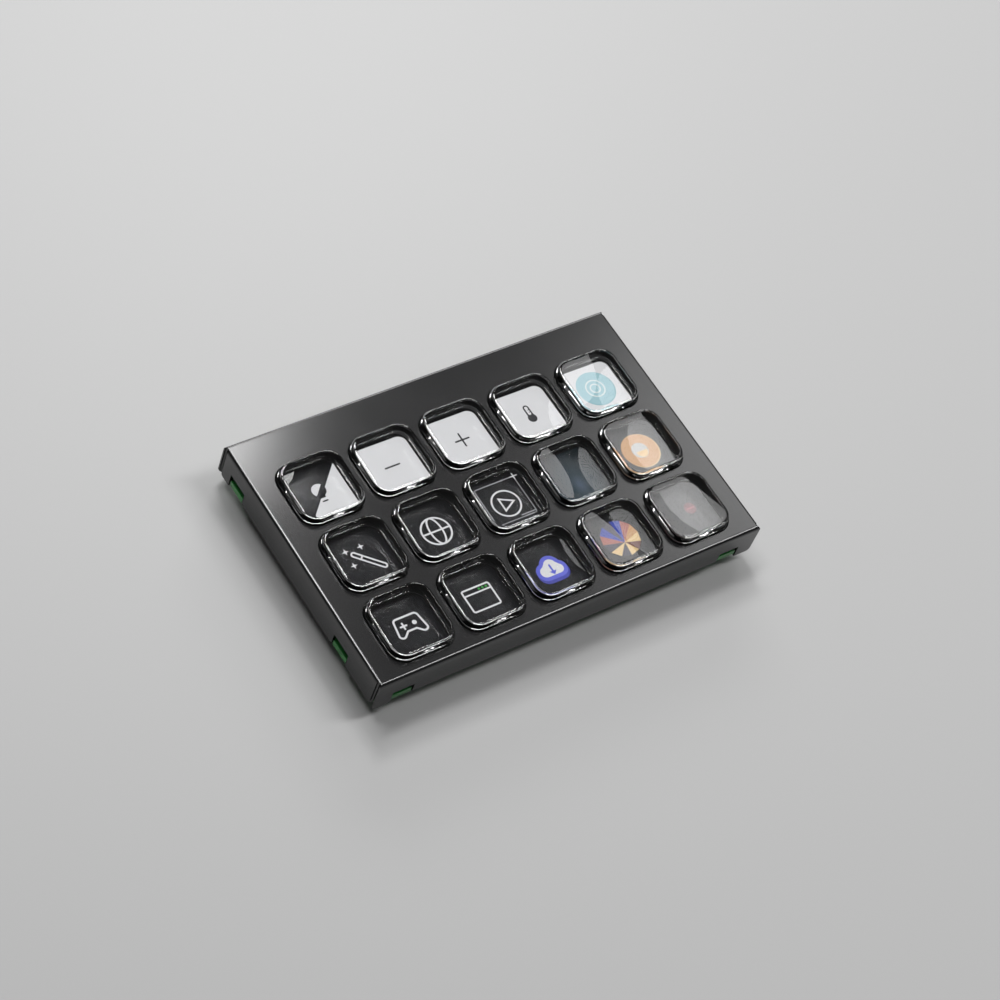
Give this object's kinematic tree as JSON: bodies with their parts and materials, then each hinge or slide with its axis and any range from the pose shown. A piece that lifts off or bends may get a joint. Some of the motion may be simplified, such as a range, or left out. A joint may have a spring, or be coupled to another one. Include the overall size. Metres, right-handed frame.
{
  "type": "display key module",
  "caption": "Flat folded-metal keypad module: clear square push keys in a grid over one display, closed by a circuit board with threaded standoffs and a cable socket.",
  "frame": {"origin": "under the middle of the cover, on the ends of the four standoffs", "axes": "+X along the five-key rows to the right, +Y to the cable socket side, +Z out of the key face"},
  "size_m": [0.1084, 0.0706, 0.015],
  "materials": {
    "cover_paint": "satin black coat on folded sheet",
    "clear_cap": "polished clear acrylic",
    "silicone": "matt black silicone",
    "black_plastic": "fine matt moulding",
    "film": "black printed film",
    "display_face": "dark polished display face",
    "white_plastic": "milky light guide",
    "tray_steel": "thin bright tray",
    "tail": "amber flat cable",
    "foam": "soft black foam",
    "board": "green solder mask",
    "plated_steel": "plated",
    "standoff_steel": "zinc plated",
    "cream_plastic": "cream moulding",
    "chip": "matt black mould compound",
    "tin": "bright tin",
    "ferrite": "dark grey ferrite",
    "ceramic": "tan ceramic",
    "gold_pad": "flat gold"
  },
  "bodies": {
    "root": {"capacitors": "ceramic", "chip_leads": "tin", "contact_film": "film", "controller_chip": "chip", "cover": "cover_paint", "crystal": "plated_steel", "display_latch": "black_plastic", "display_socket": "cream_plastic", "film_latch": "black_plastic", "film_socket": "cream_plastic", "foam_frame": "foam", "inductor": "ferrite", "key_guide": "black_plastic", "lcd_glass": "display_face", "lcd_light_guide": "white_plastic", "lcd_tail": "tail", "lcd_tray": "tray_steel", "main_board": "board", "memory_chip": "chip", "regulator_chip": "chip", "resistors": "chip", "solder_ends": "tin", "standoff_front_left": "standoff_steel", "standoff_front_right": "standoff_steel", "standoff_rear_left": "standoff_steel", "standoff_rear_right": "standoff_steel", "test_pads": "gold_pad", "usb_insert": "black_plastic", "usb_shell": "plated_steel", "spring_r1c1": "silicone", "spring_r1c2": "silicone", "spring_r1c3": "silicone", "spring_r1c4": "silicone", "spring_r1c5": "silicone", "spring_r2c1": "silicone", "spring_r2c2": "silicone", "spring_r2c3": "silicone", "spring_r2c4": "silicone", "spring_r2c5": "silicone", "spring_r3c1": "silicone", "spring_r3c2": "silicone", "spring_r3c3": "silicone", "spring_r3c4": "silicone", "spring_r3c5": "silicone"},
    "key_r1c1": {"keycap_r1c1": "clear_cap"},
    "key_r1c2": {"keycap_r1c2": "clear_cap"},
    "key_r1c3": {"keycap_r1c3": "clear_cap"},
    "key_r1c4": {"keycap_r1c4": "clear_cap"},
    "key_r1c5": {"keycap_r1c5": "clear_cap"},
    "key_r2c1": {"keycap_r2c1": "clear_cap"},
    "key_r2c2": {"keycap_r2c2": "clear_cap"},
    "key_r2c3": {"keycap_r2c3": "clear_cap"},
    "key_r2c4": {"keycap_r2c4": "clear_cap"},
    "key_r2c5": {"keycap_r2c5": "clear_cap"},
    "key_r3c1": {"keycap_r3c1": "clear_cap"},
    "key_r3c2": {"keycap_r3c2": "clear_cap"},
    "key_r3c3": {"keycap_r3c3": "clear_cap"},
    "key_r3c4": {"keycap_r3c4": "clear_cap"},
    "key_r3c5": {"keycap_r3c5": "clear_cap"}
  },
  "joints": [
    {"name": "press_r1c1", "type": "slide", "parent": "root", "child": "key_r1c1", "axis": [0, 0, -1], "range_m": [0, 0.0008], "stiffness_N_per_m": 700, "deforming": ["spring_r1c1"]},
    {"name": "press_r1c2", "type": "slide", "parent": "root", "child": "key_r1c2", "axis": [0, 0, -1], "range_m": [0, 0.0008], "stiffness_N_per_m": 700, "deforming": ["spring_r1c2"]},
    {"name": "press_r1c3", "type": "slide", "parent": "root", "child": "key_r1c3", "axis": [0, 0, -1], "range_m": [0, 0.0008], "stiffness_N_per_m": 700, "deforming": ["spring_r1c3"]},
    {"name": "press_r1c4", "type": "slide", "parent": "root", "child": "key_r1c4", "axis": [0, 0, -1], "range_m": [0, 0.0008], "stiffness_N_per_m": 700, "deforming": ["spring_r1c4"]},
    {"name": "press_r1c5", "type": "slide", "parent": "root", "child": "key_r1c5", "axis": [0, 0, -1], "range_m": [0, 0.0008], "stiffness_N_per_m": 700, "deforming": ["spring_r1c5"]},
    {"name": "press_r2c1", "type": "slide", "parent": "root", "child": "key_r2c1", "axis": [0, 0, -1], "range_m": [0, 0.0008], "stiffness_N_per_m": 700, "deforming": ["spring_r2c1"]},
    {"name": "press_r2c2", "type": "slide", "parent": "root", "child": "key_r2c2", "axis": [0, 0, -1], "range_m": [0, 0.0008], "stiffness_N_per_m": 700, "deforming": ["spring_r2c2"]},
    {"name": "press_r2c3", "type": "slide", "parent": "root", "child": "key_r2c3", "axis": [0, 0, -1], "range_m": [0, 0.0008], "stiffness_N_per_m": 700, "deforming": ["spring_r2c3"]},
    {"name": "press_r2c4", "type": "slide", "parent": "root", "child": "key_r2c4", "axis": [0, 0, -1], "range_m": [0, 0.0008], "stiffness_N_per_m": 700, "deforming": ["spring_r2c4"]},
    {"name": "press_r2c5", "type": "slide", "parent": "root", "child": "key_r2c5", "axis": [0, 0, -1], "range_m": [0, 0.0008], "stiffness_N_per_m": 700, "deforming": ["spring_r2c5"]},
    {"name": "press_r3c1", "type": "slide", "parent": "root", "child": "key_r3c1", "axis": [0, 0, -1], "range_m": [0, 0.0008], "stiffness_N_per_m": 700, "deforming": ["spring_r3c1"]},
    {"name": "press_r3c2", "type": "slide", "parent": "root", "child": "key_r3c2", "axis": [0, 0, -1], "range_m": [0, 0.0008], "stiffness_N_per_m": 700, "deforming": ["spring_r3c2"]},
    {"name": "press_r3c3", "type": "slide", "parent": "root", "child": "key_r3c3", "axis": [0, 0, -1], "range_m": [0, 0.0008], "stiffness_N_per_m": 700, "deforming": ["spring_r3c3"]},
    {"name": "press_r3c4", "type": "slide", "parent": "root", "child": "key_r3c4", "axis": [0, 0, -1], "range_m": [0, 0.0008], "stiffness_N_per_m": 700, "deforming": ["spring_r3c4"]},
    {"name": "press_r3c5", "type": "slide", "parent": "root", "child": "key_r3c5", "axis": [0, 0, -1], "range_m": [0, 0.0008], "stiffness_N_per_m": 700, "deforming": ["spring_r3c5"]}
  ]
}
